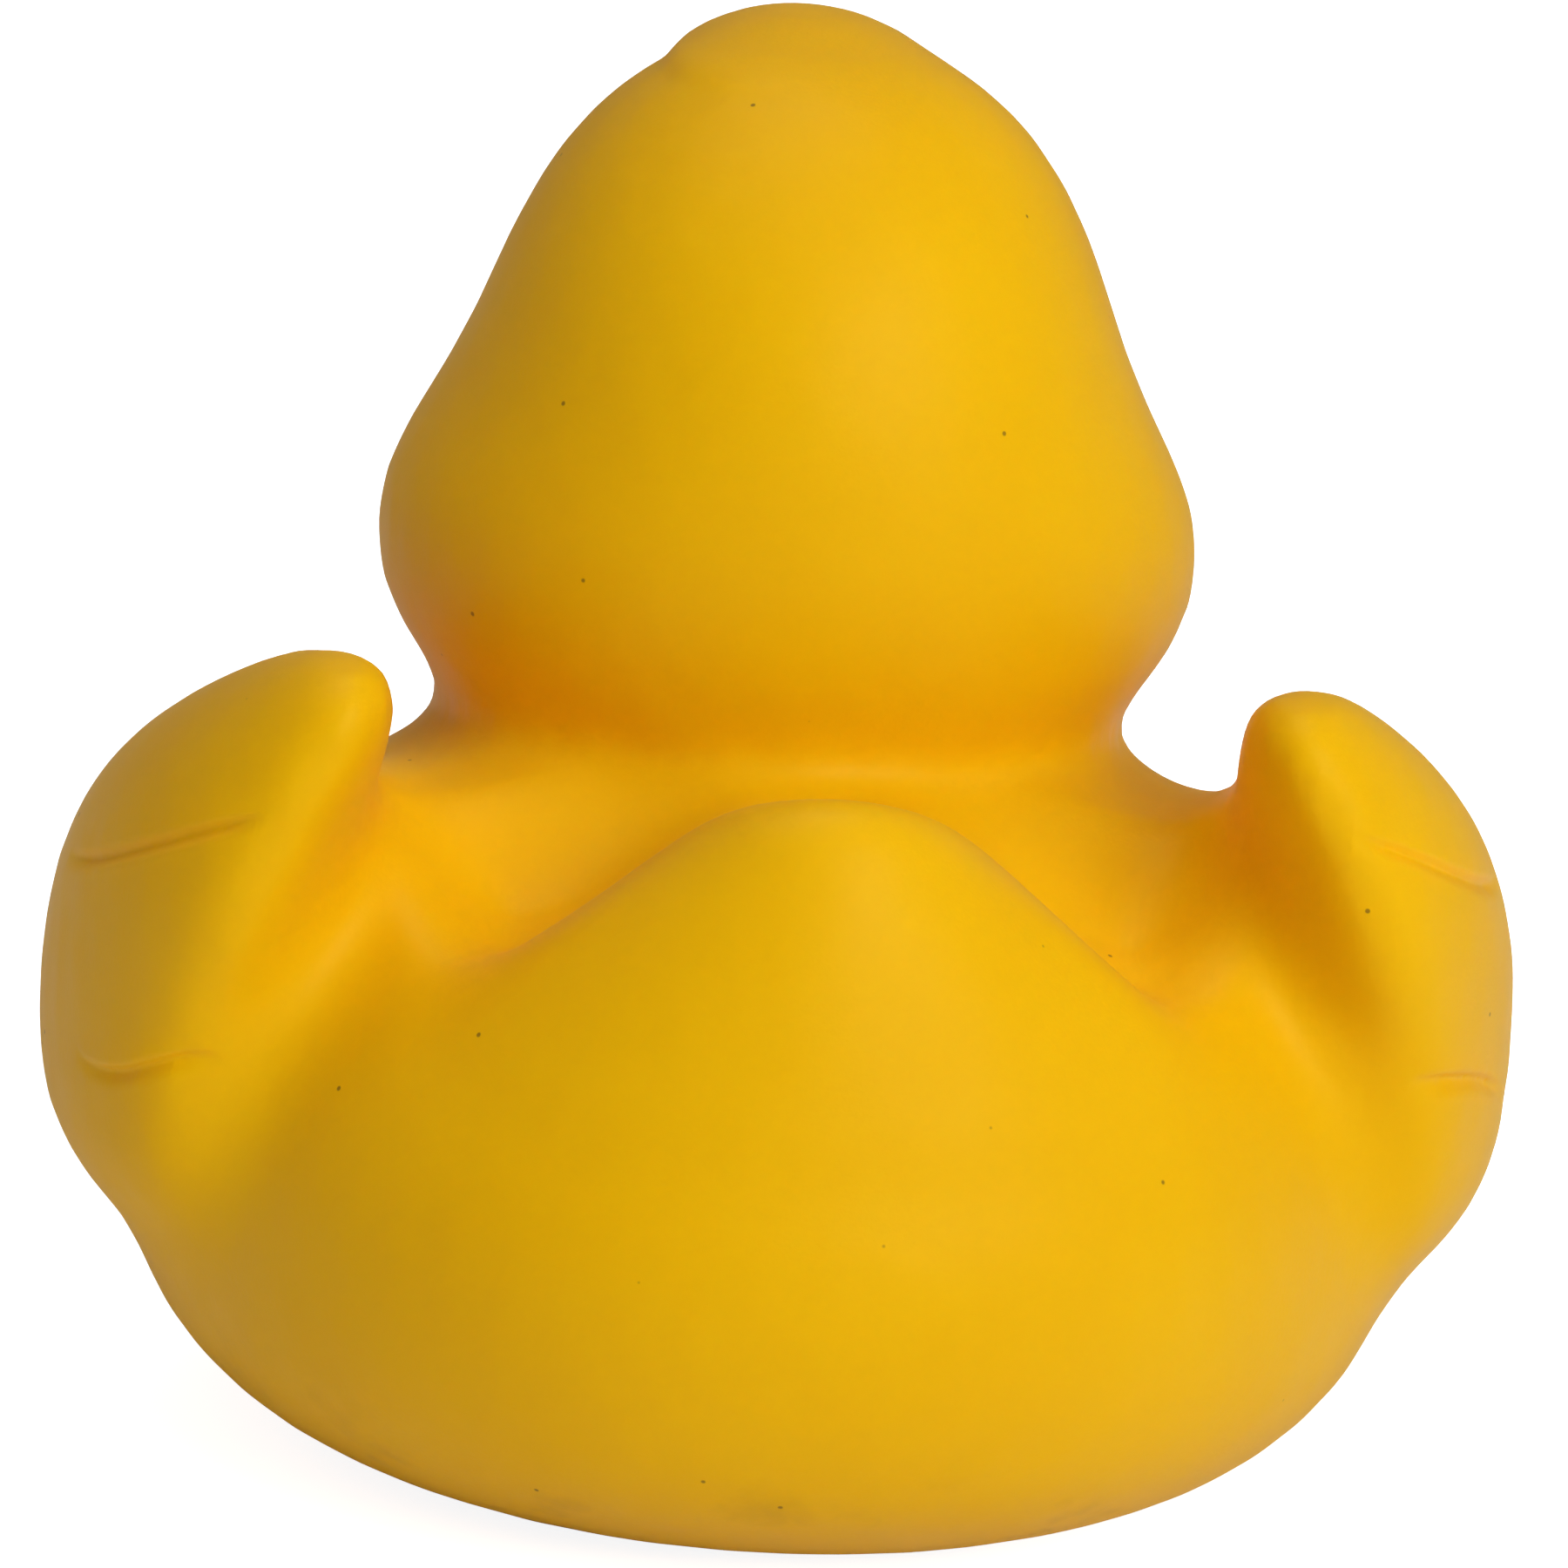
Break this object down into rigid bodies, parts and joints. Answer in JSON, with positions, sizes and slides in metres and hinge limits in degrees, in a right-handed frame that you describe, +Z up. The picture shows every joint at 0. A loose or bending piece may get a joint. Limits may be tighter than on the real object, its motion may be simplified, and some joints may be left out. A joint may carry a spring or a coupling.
{
  "type": "rubber duck",
  "caption": "Hollow moulded yellow rubber duck for the bath, with an upturned tail, curled wing tips, a tuft on the crown and an orange bill",
  "frame": {"origin": "on the surface the duck stands on, under the middle of its box", "axes": "+Z up, -Y toward the bill, +Y toward the tail, +X toward the duck's left wing"},
  "size_m": [0.0836, 0.0862, 0.0801],
  "materials": {
    "yellow_vinyl": "matte moulded vinyl with a fine grain"
  },
  "bodies": {
    "root": {"duck": "yellow_vinyl"}
  },
  "joints": []
}
